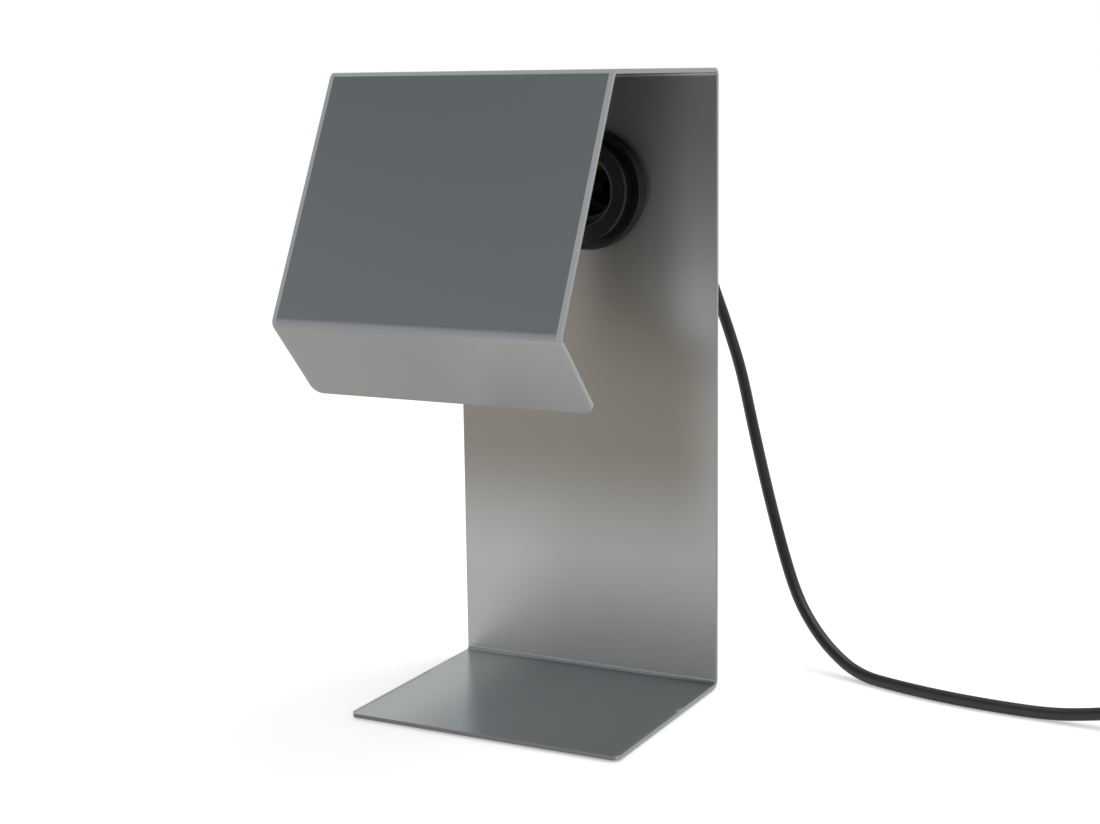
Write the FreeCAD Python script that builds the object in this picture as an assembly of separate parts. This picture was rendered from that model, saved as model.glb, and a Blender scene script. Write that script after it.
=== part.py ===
import FreeCAD, Part
import math
import os

# Table lamp folded from one strip of brushed steel, with a lamp holder clamped through its
# back plate, a cord with an in-line rocker switch, and a flat two-pin plug.
# Millimetres, +Z up, -Y is the front. The origin is the middle of the lamp's footprint,
# on the surface that it stands on. The cord's own pieces are left out of that middle.

# Folded strip, measured to its outer faces
strip_width = 140.0
strip_height = 300.0
sheet = 2.0
bend_inside = 2.0
base_reach = 113.0
top_reach = 111.0
panel_reach = 163.8
panel_drop = 106.5
lip_reach = 132.5
lip_drop = 141.5
base_corner = 3.5
lip_corner = 5.0

# Felt pads under the base
pad_radius = 6.0
pad_height = 1.0
pad_inset = 14.0

# Lamp holder, along its axis from the front face of the back plate
holder_offset = 4.0
holder_drop = 57.0
rim_radius = 25.0
rim_length = 7.0
ring_radius = 29.2
ring_length = 6.0
skirt_radius = 20.0
skirt_length = 24.0
skirt_wall = 2.35
thread_gap = 0.15
nut_radius = 26.0
nut_length = 6.0
grip_count = 16
grip_radius = 1.6
grip_depth = 0.7
mouth_radius = 16.2
mouth_flare = 1.8
mouth_bevel = 1.2
ring_bevel = 0.8
cap_wall = 2.5
cap_length = 16.0
cap_crown = 9.0
neck_radius = 7.5
neck_length = 6.0
neck_bore = 5.0

# Screw shell and contacts for a lamp cap 27 mm across
shell_bore = 13.2
shell_wall = 0.5
shell_length = 19.0
shell_setback = 10.0
shell_flange = 4.5
seat_gap = 0.1
carrier_flange = 3.0
carrier_length = 9.0
carrier_pocket = 4.5
tongue_wall = 0.5
tongue_width = 5.0
tongue_rise = 4.0
tongue_bend = 0.6
live_rivet_x = -5.8
live_terminal_x = -8.5
neutral_terminal_x = 9.8
terminal_size = 7.0
rivet_radius = 1.3
rivet_head = 2.2
rivet_head_height = 0.8

# Cord, its two cores and its strain relief
cord_diameter = 6.0
core_diameter = 2.2
core_bend = 1.3
core_lead = 5.0
relief_length = 24.0
relief_flange = 3.0
relief_root = 6.0
relief_tip = 4.0
cord_gap = 0.05

# Small screws, all of one size
screw_radius = 1.4
screw_head = 2.1
screw_head_height = 1.0

# In-line switch, lying along X on the cord
switch_start = 270.0
switch_line = 70.0
switch_length = 74.0
switch_width = 28.0
switch_height = 18.0
switch_corner = 9.0
switch_wall = 2.0
switch_edge = 1.5
cord_inset = 15.0
boss_x = 32.5
boss_y = 8.5
boss_radius = 3.0
saddle_x = 26.5
saddle_length = 5.0
saddle_width = 15.0
clamp_height = 4.0
clamp_screw_y = 5.5
rocker_length = 22.0
rocker_width = 12.0
rocker_gap = 0.4
rocker_swing = 10.0
rocker_dip = 1.4
rocker_side = 2.8
rocker_crown = 30.0
rocker_edge = 0.8
belly_edge = 1.0
belly_half = 4.0
belly_depth = 4.0
pivot_depth = 4.0
pivot_radius = 1.5
pivot_length = 2.0
bridge_half = 7.0
bridge_wall = 0.6
contact_gap = 0.3
contact_height = 7.0
bar_height = 3.0
bar_width = 4.5
bar_offset = 3.75
pad_start = 4.0
pad_length = 3.5
post_end = 15.5
post_length = 4.5
link_offset = 9.5

# Coil of put-away cord, its tie, and the flat plug beside it
coil_middle = 34.0
coil_rows = 3
coil_layers = 2
coil_x = 408.0
coil_entry = 18.0
tie_width = 8.0
tie_wall = 0.8
plug_front_x = 304.0
plug_width = 35.3
plug_height = 13.7
plug_length = 36.0
plug_square = 10.0
plug_tail = 15.0
plug_corner = 2.5
plug_edge = 1.5
boot_length = 16.0
boot_root = 6.4
boot_tip = 4.0
pin_spacing = 18.6
pin_radius = 2.0
pin_length = 19.0
pin_core = 1.3
pin_depth = 8.0
pin_nose = 0.8
sleeve_radius = 1.8
sleeve_length = 10.0

vector = FreeCAD.Vector
along_x = vector(1, 0, 0)
along_y = vector(0, 1, 0)
up = vector(0, 0, 1)

cord_radius = cord_diameter / 2
core_radius = core_diameter / 2
holder_height = strip_height - holder_drop
holder_end = skirt_length + cap_length + neck_length
nodes = {}


def tangent_edges(points, radii):
    """Straight runs through the points, joined by tangent arcs; a radius of 0 stays sharp."""
    edges = []
    start = points[0]
    for before, corner, after, radius in zip(points, points[1:], points[2:], radii):
        into = (corner - before).normalize()
        out = (after - corner).normalize()
        half_turn = into.getAngle(out) / 2
        trim = radius * math.tan(half_turn)
        arc_start = corner - into * trim
        arc_end = corner + out * trim
        edges.append(Part.LineSegment(start, arc_start).toShape())
        if radius:
            inward = (out - into).normalize()
            arc_middle = corner + inward * (radius / math.cos(half_turn) - radius)
            edges.append(Part.Arc(arc_start, arc_middle, arc_end).toShape())
        start = arc_end
    edges.append(Part.LineSegment(start, points[-1]).toShape())
    return edges


def loop_face(edges):
    """A flat face inside a closed chain of edges."""
    return Part.Face(Part.Wire(Part.__sortEdges__(edges)))


def rounded_face(points, radii):
    """A flat face inside a closed outline, each corner with its own radius."""
    middle = (points[0] + points[-1]) / 2
    return loop_face(tangent_edges([middle] + points + [middle], radii))


def turned(profile):
    """A solid turned about the Y axis from (along, radius) pairs; a third value rounds a corner."""
    corners = [vector(pair[1], pair[0], 0) for pair in profile]
    radii = [pair[2] if len(pair) > 2 else 0 for pair in profile]
    return rounded_face(corners, radii).revolve(vector(0, 0, 0), along_y, 360)


def rod(radius, length, start, direction):
    """A round bar from a start point."""
    return Part.makeCylinder(radius, length, start, direction)


def block(x_range, y_range, z_range):
    """A box between the given pairs of coordinates."""
    corner = vector(x_range[0], y_range[0], z_range[0])
    size = [high - low for low, high in (x_range, y_range, z_range)]
    return Part.makeBox(size[0], size[1], size[2], corner)


def screw(tip, length, direction):
    """A cheese-head screw, from the tip of its shank to the top of its head."""
    shank = rod(screw_radius, length, tip, direction)
    head = rod(screw_head, screw_head_height, tip + direction * length, direction)
    return shank.fuse(head).removeSplitter()


def tube(points, radii, radius):
    """A round tube along straight runs and tangent arcs, with the length of its middle line."""
    path = Part.Wire(tangent_edges(points, radii))
    heading = (points[1] - points[0]).normalize()
    section = Part.Wire(Part.makeCircle(radius, points[0], heading))
    return path.makePipeShell([section], True, False), path.Length


def stiff_core(points):
    """One of the cord's cores, bent sharply between straight runs."""
    path = Part.Wire(tangent_edges(points, [0] * len(points)))
    heading = (points[1] - points[0]).normalize()
    section = Part.Wire(Part.makeCircle(core_radius, points[0], heading))
    mitred = 1
    return path.makePipeShell([section], True, False, mitred)


def side_copy(points, normal, distance):
    """An open outline moved sideways in its own plane, mitred at its corners."""
    across = []
    for start, end in zip(points, points[1:]):
        across.append(normal.cross(end - start).normalize())
    copy = [points[0] + across[0] * distance]
    for corner, first, second in zip(points[1:], across, across[1:]):
        mitre = (first + second).normalize()
        copy.append(corner + mitre * (distance / mitre.dot(first)))
    copy.append(points[-1] + across[-1] * distance)
    return copy


def bent_sheet(face, normal, wall, bend, width):
    """A bent strip: one face's outline, its wall, the radius inside its bends and its width."""
    other = side_copy(face, normal, wall)
    face_radii = []
    other_radii = []
    for before, corner, after in zip(face, face[1:], face[2:]):
        turns_in = normal.dot((corner - before).cross(after - corner)) > 0
        face_radii.append(bend + wall if turns_in else bend)
        other_radii.append(bend if turns_in else bend + wall)
    edges = tangent_edges(face, face_radii) + tangent_edges(other, other_radii)
    edges.append(Part.LineSegment(face[0], other[0]).toShape())
    edges.append(Part.LineSegment(face[-1], other[-1]).toShape())
    strip = loop_face(edges).extrude(normal * width)
    return strip.translated(normal * (-width / 2))


def add(name, shape, place=vector(0, 0, 0)):
    """Keep a piece under its node name, moved to its place."""
    nodes[name] = shape.translated(place)


# Folded strip: base, back plate, top, sloping front panel and tucked-in lower lip
strip_face = [
    vector(0, -base_reach, 0),
    vector(0, sheet, 0),
    vector(0, sheet, strip_height),
    vector(0, -top_reach, strip_height),
    vector(0, -panel_reach, strip_height - panel_drop),
    vector(0, -lip_reach, strip_height - lip_drop),
]


def folded_strip():
    folded = bent_sheet(strip_face, along_x, sheet, bend_inside, strip_width)
    folded = folded.makeFillet(base_corner, corner_edges(folded, strip_face[0]))
    folded = folded.makeFillet(lip_corner, corner_edges(folded, strip_face[-1]))
    hole_start = vector(holder_offset, -sheet, holder_height)
    return folded.cut(rod(skirt_radius + thread_gap, 3 * sheet, hole_start, along_y))


def corner_edges(folded, end):
    """The two short edges across the sheet at one end of the strip."""
    found = []
    for edge in folded.Edges:
        centre = edge.CenterOfMass
        at_side = abs(abs(centre.x) - strip_width / 2) < sheet / 4
        at_end = (vector(0, centre.y, centre.z) - end).Length < sheet * 0.75
        if at_side and at_end:
            found.append(edge)
    return found


strip = folded_strip()
front_reach = -strip.BoundBox.YMin
rear_reach = holder_end + relief_length
plate_y = round((front_reach - rear_reach) / 2, 1)
holder_axis = vector(holder_offset, plate_y, pad_height + holder_height)
add("folded_body", strip, vector(0, plate_y, pad_height))


# Felt pads near the corners of the base
def felt_pads():
    across = strip_width / 2 - pad_inset
    front = plate_y - base_reach + pad_inset
    back = plate_y - pad_inset
    places = [(-across, front), (across, front), (-across, back), (across, back)]
    for number, (x, y) in enumerate(places, start=1):
        add(f"foot_pad_{number}", rod(pad_radius, pad_height, vector(x, y, 0), up))


felt_pads()


# Lamp holder's outer pieces, turned about its axis
rim_front = -(ring_length + rim_length)
shell_front = rim_front + shell_setback
shell_back = shell_front + shell_length
shell_outside = shell_bore + shell_wall
skirt_bore = skirt_radius - skirt_wall
spigot_outside = skirt_bore - thread_gap
spigot_start = shell_back + carrier_flange
cap_inside = spigot_outside - cap_wall
cap_end = skirt_length + cap_length


def holder_shell():
    return turned([
        (rim_front, mouth_radius + mouth_flare),
        (rim_front, rim_radius - mouth_bevel),
        (rim_front + mouth_bevel, rim_radius),
        (-ring_length, rim_radius),
        (-ring_length, skirt_radius),
        (skirt_length, skirt_radius),
        (skirt_length, skirt_bore),
        (shell_back, skirt_bore),
        (shell_back, shell_outside + seat_gap),
        (shell_front, shell_outside + seat_gap),
        (shell_front, mouth_radius),
        (rim_front + mouth_flare, mouth_radius),
    ])


def grip_notches(shape, radius, start, length):
    """Shallow finger grooves along the outside of a round piece, evenly spaced."""
    groove_middle = radius + grip_radius - grip_depth
    for number in range(grip_count):
        angle = 2 * math.pi * number / grip_count
        groove_start = vector(groove_middle * math.cos(angle), start, groove_middle * math.sin(angle))
        shape = shape.cut(rod(grip_radius, length, groove_start, along_y))
    return shape


def threaded_ring(start, length, radius):
    """A ring screwed on the holder's skirt, with its outer corners bevelled."""
    bore = skirt_radius + thread_gap
    end = start + length
    return turned([
        (start, bore),
        (start, radius - ring_bevel),
        (start + ring_bevel, radius),
        (end - ring_bevel, radius),
        (end, radius - ring_bevel),
        (end, bore),
    ])


def holder_cap():
    roof = cap_end - cap_wall
    body = turned([
        (spigot_start, cap_inside),
        (spigot_start, spigot_outside),
        (skirt_length, spigot_outside),
        (skirt_length, skirt_radius),
        (cap_end, skirt_radius, cap_crown),
        (cap_end, neck_radius),
        (holder_end, neck_radius),
        (holder_end, neck_bore),
        (roof, neck_bore),
        (roof, cap_inside, cap_crown - cap_wall),
    ])
    start = vector(0, holder_end - neck_length / 2, neck_bore - 1)
    body = body.cut(rod(screw_radius + cord_gap, neck_radius, start, up))
    return grip_notches(body, skirt_radius, skirt_length, cap_length - cap_crown)


def back_nut():
    nut = threaded_ring(sheet, nut_length, nut_radius)
    return grip_notches(nut, nut_radius, sheet, nut_length)


add("holder_shell", holder_shell(), holder_axis)
add("shade_ring", threaded_ring(-ring_length, ring_length, ring_radius), holder_axis)
add("back_nut", back_nut(), holder_axis)
add("holder_cap", holder_cap(), holder_axis)


# Screw shell with a turned-in flange, and the moulded disc that carries the contacts
neutral_rivet_x = shell_bore - shell_flange / 2
pocket_radius = shell_bore - shell_flange - seat_gap
pocket_floor = shell_back + carrier_pocket
terminal_front = shell_back + carrier_length
terminal_back = terminal_front + terminal_size


def screw_shell():
    flange_edge = shell_bore - shell_flange
    shell = turned([
        (shell_front, shell_bore),
        (shell_front, shell_outside),
        (shell_back, shell_outside),
        (shell_back, flange_edge),
        (shell_back - shell_wall, flange_edge),
        (shell_back - shell_wall, shell_bore),
    ])
    return shell.cut(rivet_hole(neutral_rivet_x))


def rivet_hole(x):
    start = vector(x, shell_front, 0)
    return rod(rivet_radius + cord_gap, terminal_back, start, along_y)


def contact_carrier():
    boss = cap_inside - seat_gap
    disc = turned([
        (pocket_floor, 0),
        (pocket_floor, pocket_radius),
        (shell_back, pocket_radius),
        (shell_back, spigot_outside - seat_gap),
        (spigot_start, spigot_outside - seat_gap),
        (spigot_start, boss),
        (terminal_front, boss),
        (terminal_front, 0),
    ])
    return disc.cut(rivet_hole(live_rivet_x)).cut(rivet_hole(neutral_rivet_x))


def centre_contact():
    """A springy strip, riveted in the disc's pocket and bent up to meet the lamp's tip."""
    foot = -math.sqrt(pocket_radius ** 2 - (tongue_width / 2) ** 2) + seat_gap
    face = [
        vector(foot, pocket_floor, 0),
        vector(live_rivet_x + rivet_head + tongue_bend, pocket_floor, 0),
        vector(pocket_radius / 3, pocket_floor - tongue_rise, 0),
        vector(pocket_radius / 2, pocket_floor - tongue_rise / 2, 0),
    ]
    strip = bent_sheet(face, -up, tongue_wall, tongue_bend, tongue_width)
    return strip.cut(rivet_hole(live_rivet_x))


def contact_rivets():
    """Two rivets through the disc, from a contact in front to a terminal behind."""
    live_front = pocket_floor - tongue_wall
    neutral_front = shell_back - shell_wall
    live = rod(rivet_radius, terminal_front - live_front, vector(live_rivet_x, live_front, 0), along_y)
    head_start = vector(live_rivet_x, live_front - rivet_head_height, 0)
    live = live.fuse(rod(rivet_head, rivet_head_height, head_start, along_y)).removeSplitter()
    start = vector(neutral_rivet_x, neutral_front, 0)
    neutral = rod(rivet_radius, terminal_front - neutral_front, start, along_y)
    return Part.makeCompound([live, neutral])


add("screw_shell", screw_shell(), holder_axis)
add("contact_carrier", contact_carrier(), holder_axis)
add("centre_contact", centre_contact(), holder_axis)
add("contact_rivets", contact_rivets(), holder_axis)


# Terminals behind the disc: a brass block, its screw and the core that it holds
core_drop = -terminal_size * 0.15
screw_tip = core_drop + core_radius + cord_gap


def terminal(x):
    half = terminal_size / 2
    middle = terminal_front + half
    body = block((x - half, x + half), (terminal_front, terminal_back), (-half, half))
    core_hole = rod(core_radius + cord_gap, half + 1, vector(x, middle - 1, core_drop), along_y)
    screw_hole = rod(screw_radius + cord_gap, terminal_size, vector(x, middle, core_drop), up)
    return body.cut(core_hole).cut(screw_hole)


def terminal_screws():
    screws = []
    for x in (live_terminal_x, neutral_terminal_x):
        tip = vector(x, terminal_front + terminal_size / 2, screw_tip)
        screws.append(screw(tip, terminal_size / 2 - screw_tip, up))
    return Part.makeCompound(screws)


def holder_core(x):
    """One core, from the cord's end in the neck to its terminal."""
    start_x = math.copysign(core_radius + seat_gap, x)
    end = holder_end - relief_flange
    bend_y = terminal_back + core_bend
    path = [
        vector(start_x, end, 0),
        vector(start_x, bend_y + core_lead, 0),
        vector(x, bend_y, core_drop),
        vector(x, terminal_front + terminal_size / 2, core_drop),
    ]
    return stiff_core(path)


add("terminal_live", terminal(live_terminal_x), holder_axis)
add("terminal_neutral", terminal(neutral_terminal_x), holder_axis)
add("terminal_screws", terminal_screws(), holder_axis)
add("core_live", holder_core(live_terminal_x), holder_axis)
add("core_neutral", holder_core(neutral_terminal_x), holder_axis)


# Strain relief screwed into the neck, and the grub screw that locks it there
def strain_relief():
    bore = cord_radius + cord_gap
    root = holder_end - relief_flange
    tip = holder_end + relief_length
    return turned([
        (root, bore),
        (root, neck_bore - cord_gap),
        (holder_end, neck_bore - cord_gap),
        (holder_end, neck_radius),
        (holder_end + relief_flange, neck_radius),
        (holder_end + relief_flange, relief_root),
        (tip, relief_tip),
        (tip, bore),
    ])


def neck_screw():
    start = vector(0, holder_end - neck_length / 2, neck_bore)
    return rod(screw_radius, neck_radius - neck_bore, start, up)


add("strain_relief", strain_relief(), holder_axis)
add("neck_screw", neck_screw(), holder_axis)


# Cord: out of the strain relief, down behind the lamp, and along the table to the switch
cord_start = holder_axis + along_y * (holder_end - relief_flange)
switch_middle = vector(switch_start + switch_length / 2, switch_line, 0)
cord_line = switch_height / 2
coil_outer_row = coil_middle + cord_diameter * (coil_rows - 1) / 2
coil_y = switch_line - coil_outer_row
plug_y = coil_y - coil_outer_row

lamp_lead = [
    cord_start,
    cord_start + along_y * 36.5,
    vector(5, 140, 238.8),
    vector(7.2, 151.3, 229),
    vector(10.4, 158.4, 216),
    vector(15, 161, 201),
    vector(21.8, 161, 183.5),
    vector(30.4, 158, 164.5),
    vector(41, 151, 143),
    vector(50.5, 142.5, 117.5),
    vector(58.2, 136.5, 96.5),
    vector(66, 131, 75.5),
    vector(76.5, 122.5, 52),
    vector(86.5, 113.5, 34.5),
    vector(97, 105, 23),
    vector(111, 97, 11.5),
    vector(129, 88.5, 3),
    vector(152, 80, 3),
    vector(178, 73.5, 3),
    vector(204, 70.5, 3),
    vector(228, 69.5, 3.2),
    vector(246, 70.2, 5.5),
    vector(262, switch_line, cord_line),
    vector(switch_start + cord_inset, switch_line, cord_line),
]
plug_lead = [
    vector(switch_start + switch_length - cord_inset, switch_line, cord_line),
    vector(354, switch_line, cord_line),
    vector(371, switch_line + 0.3, 3.3),
    vector(coil_x - coil_entry, switch_line, cord_radius),
]
plug_tail_lead = [
    vector(coil_x - coil_entry, plug_y, cord_diameter + cord_radius),
    vector(380, plug_y, cord_diameter + cord_radius - 0.05),
    vector(366, plug_y, plug_height / 2),
    vector(plug_front_x + plug_length + boot_length, plug_y, plug_height / 2),
]


def cord_piece(name, points):
    """One stretch of the cord, with the largest arcs that its runs leave room for."""
    radii = []
    for before, corner, after in zip(points, points[1:], points[2:]):
        into = corner - before
        out = after - corner
        run = min(into.Length, out.Length)
        radii.append(0.45 * run / math.tan(into.getAngle(out) / 2))
    shape, length = tube(points, radii, cord_radius)
    add(name, shape)
    filled = shape.Volume / (math.pi * cord_radius ** 2 * length)
    print(f"{name}: length {length:.1f}, filled {filled:.4f}, radii", [round(r) for r in radii])
    return length


def cord_coil():
    """The outer shape of the coiled turns, lying flat on the table."""
    inner = coil_middle - cord_diameter * coil_rows / 2
    outer = coil_middle + cord_diameter * coil_rows / 2
    height = cord_diameter * coil_layers
    bevel = cord_radius * (2 - math.sqrt(2))
    outline = [
        vector(inner, 0, bevel),
        vector(inner + bevel, 0, 0),
        vector(outer - bevel, 0, 0),
        vector(outer, 0, bevel),
        vector(outer, 0, height - bevel),
        vector(outer - bevel, 0, height),
        vector(inner + bevel, 0, height),
        vector(inner, 0, height - bevel),
    ]
    return rounded_face(outline, [0] * len(outline)).revolve(vector(0, 0, 0), up, 360)


def coil_tie():
    """A band over the coil's turns, from the table inside it to the table outside it."""
    inner = coil_middle - cord_diameter * coil_rows / 2
    inner_leg = math.sqrt(inner ** 2 - (tie_width / 2) ** 2)
    outer_leg = coil_middle + cord_diameter * coil_rows / 2
    height = cord_diameter * coil_layers
    face = [
        vector(inner_leg, 0, 0),
        vector(inner_leg, 0, height),
        vector(outer_leg, 0, height),
        vector(outer_leg, 0, 0),
    ]
    return bent_sheet(face, -along_y, tie_wall, tie_wall, tie_width)


lengths = [
    cord_piece("cord_lamp_lead", lamp_lead),
    cord_piece("cord_plug_lead", plug_lead),
    cord_piece("cord_plug_end", plug_tail_lead),
]
add("cord_coil", cord_coil(), vector(coil_x, coil_y, 0))
add("coil_tie", coil_tie(), vector(coil_x, coil_y, 0))


# In-line switch: a shell in two halves that clamps the cord at both ends
parting = switch_height / 2
pivot_z = switch_height - pivot_depth
opening_half = rocker_length / 2 + 3 * rocker_gap
boss_places = ((boss_x, -boss_y), (-boss_x, boss_y))


def switch_outline(inset, z):
    """The switch's rounded plan, moved in from its outside."""
    x = switch_length / 2 - inset
    y = switch_width / 2 - inset
    corners = [vector(-x, -y, z), vector(x, -y, z), vector(x, y, z), vector(-x, y, z)]
    return rounded_face(corners, [switch_corner - inset] * 4)


def cord_channels(grow):
    """Round spaces for the cord's two ends, along X."""
    length = cord_inset + 1
    start = vector(-switch_length / 2 - 1, 0, cord_line)
    other = vector(switch_length / 2 - cord_inset, 0, cord_line)
    radius = cord_radius + grow
    return rod(radius, length, start, along_x).fuse(rod(radius, length, other, along_x))


def end_blocks(z_low, z_high):
    """Two blocks across the cord, one at each end of the switch."""
    shapes = []
    for side in (-1, 1):
        x = side * saddle_x
        x_range = (x - saddle_length / 2, x + saddle_length / 2)
        shapes.append(block(x_range, (-saddle_width / 2, saddle_width / 2), (z_low, z_high)))
    return shapes


def clamp_screw_places():
    return [vector(side * saddle_x, y, 0) for side in (-1, 1) for y in (-clamp_screw_y, clamp_screw_y)]


def switch_base():
    shell = switch_outline(0, 0).extrude(up * parting)
    shell = shell.cut(switch_outline(switch_wall, switch_wall).extrude(up * parting))
    for x, y in boss_places:
        shell = shell.fuse(rod(boss_radius, parting, vector(x, y, 0), up))
    for saddle in end_blocks(switch_wall, parting):
        shell = shell.fuse(saddle)
    shell = shell.cut(cord_channels(cord_gap))
    for x, y in boss_places:
        shell = shell.cut(rod(screw_radius + cord_gap, parting, vector(x, y, 0), up))
        shell = shell.cut(rod(screw_head + cord_gap, switch_wall, vector(x, y, 0), up))
    for place in clamp_screw_places():
        shell = shell.cut(rod(screw_radius + cord_gap, parting, place + up * 2 * switch_wall, up))
    return shell.removeSplitter()


def switch_cover():
    height = switch_height - parting
    shell = switch_outline(0, parting).extrude(up * height)
    top_edges = [edge for edge in shell.Edges if edge.BoundBox.ZMin > switch_height - seat_gap]
    shell = shell.makeFillet(switch_edge, top_edges)
    shell = shell.cut(switch_outline(switch_wall, parting).extrude(up * (height - switch_wall)))
    roof = switch_height - switch_wall
    for x, y in boss_places:
        shell = shell.fuse(rod(boss_radius, height - switch_wall, vector(x, y, parting), up))
    inside = rocker_width / 2 + rocker_gap
    for low in (inside, -inside - pivot_length):
        rib = block((-belly_half, belly_half), (low, low + pivot_length), (pivot_z - belly_half, roof))
        shell = shell.fuse(rib)
    shell = shell.cut(block((-opening_half, opening_half), (-inside, inside), (parting, switch_height)))
    hole_start = vector(0, -inside - pivot_length, pivot_z)
    shell = shell.cut(rod(pivot_radius + cord_gap, 2 * (inside + pivot_length), hole_start, along_y))
    shell = shell.cut(cord_channels(cord_gap))
    for x, y in boss_places:
        hole = rod(screw_radius + cord_gap, height - 2 * switch_wall, vector(x, y, parting), up)
        shell = shell.cut(hole)
    return shell.removeSplitter()


def cord_clamps():
    clamps = []
    for bar in end_blocks(parting, parting + clamp_height):
        bar = bar.cut(cord_channels(cord_gap))
        for place in clamp_screw_places():
            bar = bar.cut(rod(screw_radius + cord_gap, switch_height, place, up))
        clamps.append(bar)
    return Part.makeCompound(clamps)


def clamp_screws():
    length = parting + clamp_height - 2 * switch_wall
    tips = [place + up * 2 * switch_wall for place in clamp_screw_places()]
    return Part.makeCompound([screw(tip, length, up) for tip in tips])


def shell_screws():
    """Two screws up through the base into the cover, heads sunk in the base."""
    screws = []
    top = switch_height - 2 * switch_wall
    for x, y in boss_places:
        shank = rod(screw_radius, top - switch_wall, vector(x, y, switch_wall), up)
        head = rod(screw_head, screw_head_height, vector(x, y, switch_wall - screw_head_height), up)
        screws.append(shank.fuse(head).removeSplitter())
    return Part.makeCompound(screws)


add("switch_base", switch_base(), switch_middle)
add("switch_cover", switch_cover(), switch_middle)
add("switch_cord_clamps", cord_clamps(), switch_middle)
add("switch_clamp_screws", clamp_screws(), switch_middle)
add("switch_shell_screws", shell_screws(), switch_middle)


# Rocker with its two pivots, and the bridge that it presses on the contacts
def rocker():
    half = rocker_length / 2
    top = pivot_z + pivot_depth
    corners = [
        vector(-belly_half, 0, pivot_z - belly_depth),
        vector(belly_half, 0, pivot_z - belly_depth),
        vector(half, 0, top + rocker_dip - rocker_side),
        vector(half, 0, top + rocker_dip),
        vector(0, 0, top),
        vector(-half, 0, top + rocker_dip),
        vector(-half, 0, top + rocker_dip - rocker_side),
    ]
    radii = [belly_edge] * 2 + [rocker_edge] * 2 + [rocker_crown] + [rocker_edge] * 2
    body = rounded_face(corners, radii).extrude(along_y * rocker_width)
    body = body.translated(along_y * (-rocker_width / 2))
    reach = rocker_width / 2 + rocker_gap + pivot_length
    pivot = rod(pivot_radius, 2 * reach, vector(0, -reach, pivot_z), along_y)
    return body.fuse(pivot).removeSplitter()


def contact_bridge():
    top = pivot_z - belly_depth
    y = bar_offset + bar_width / 2
    return block((-bridge_half, bridge_half), (-y, y), (top - bridge_wall, top))


add("switch_rocker", rocker(), switch_middle)
add("switch_bridge", contact_bridge(), switch_middle)


# Fixed contacts and the neutral link, on the floor of the switch's base
def pad_top():
    """Height of a contact's pad: just under the bridge's edge when the rocker is pressed."""
    swing = math.radians(rocker_swing)
    depth = belly_depth + bridge_wall
    return pivot_z - bridge_half * math.sin(swing) - depth * math.cos(swing) - contact_gap


def y_span(y):
    return y - bar_width / 2, y + bar_width / 2


def post(side, y):
    """A brass post for one core, drilled along X for the core and from the top for its screw."""
    inner = side * (post_end - post_length)
    x_range = sorted((inner, side * post_end))
    return block(x_range, y_span(y), (switch_wall, switch_wall + contact_height))


def drill_post(shape, side, y):
    core_start = vector(side * post_end, y, post_z)
    core_hole = rod(core_radius + cord_gap, post_length / 2 + 1, core_start, along_x * -side)
    screw_hole = rod(screw_radius + cord_gap, contact_height, vector(side * post_middle, y, post_z), up)
    return shape.cut(core_hole).cut(screw_hole)


post_middle = post_end - post_length / 2
post_z = switch_wall + bar_height + core_radius
post_screw_z = post_z + core_radius + cord_gap
plug_side_y = -bar_offset
lamp_side_y = bar_offset


def fixed_contact(side, y):
    """A bar on the switch's floor, from the pad under the bridge to a post at one end."""
    pad = (pad_start, pad_start + pad_length)
    x_range = (min(pad[0], side * post_end), max(pad[1], side * post_end))
    bar = block(x_range, y_span(y), (switch_wall, switch_wall + bar_height))
    bar = bar.fuse(block(pad, y_span(y), (switch_wall, pad_top())))
    return drill_post(bar.fuse(post(side, y)), side, y).removeSplitter()


def neutral_link():
    """A bar that joins the neutral cores past the switch."""
    link = block((-post_end, post_end), y_span(link_offset), (switch_wall, switch_wall + bar_height))
    for side in (-1, 1):
        link = drill_post(link.fuse(post(side, link_offset)), side, link_offset)
    return link.removeSplitter()


posts = ((1, plug_side_y), (-1, lamp_side_y), (-1, link_offset), (1, link_offset))


def post_screws():
    length = switch_wall + contact_height - post_screw_z
    return Part.makeCompound([
        screw(vector(side * post_middle, y, post_screw_z), length, up) for side, y in posts
    ])


def switch_cores():
    """Four short cores, from the cord's two ends to the posts."""
    cores = []
    cord_end = switch_length / 2 - cord_inset
    for side, y in posts:
        start_y = math.copysign(core_radius + seat_gap, y)
        path = [
            vector(side * cord_end, start_y, cord_line),
            vector(side * (cord_end - core_bend), start_y, cord_line),
            vector(side * (post_end + core_bend), y, post_z),
            vector(side * post_middle, y, post_z),
        ]
        cores.append(stiff_core(path))
    return Part.makeCompound(cores)


add("switch_contact_plug_side", fixed_contact(1, plug_side_y), switch_middle)
add("switch_contact_lamp_side", fixed_contact(-1, lamp_side_y), switch_middle)
add("switch_neutral_link", neutral_link(), switch_middle)
add("switch_post_screws", post_screws(), switch_middle)
add("switch_cores", switch_cores(), switch_middle)


# Flat two-pin plug, lying beside the coil with its pins toward -X
plug_place = vector(plug_front_x, plug_y, plug_height / 2)


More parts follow.
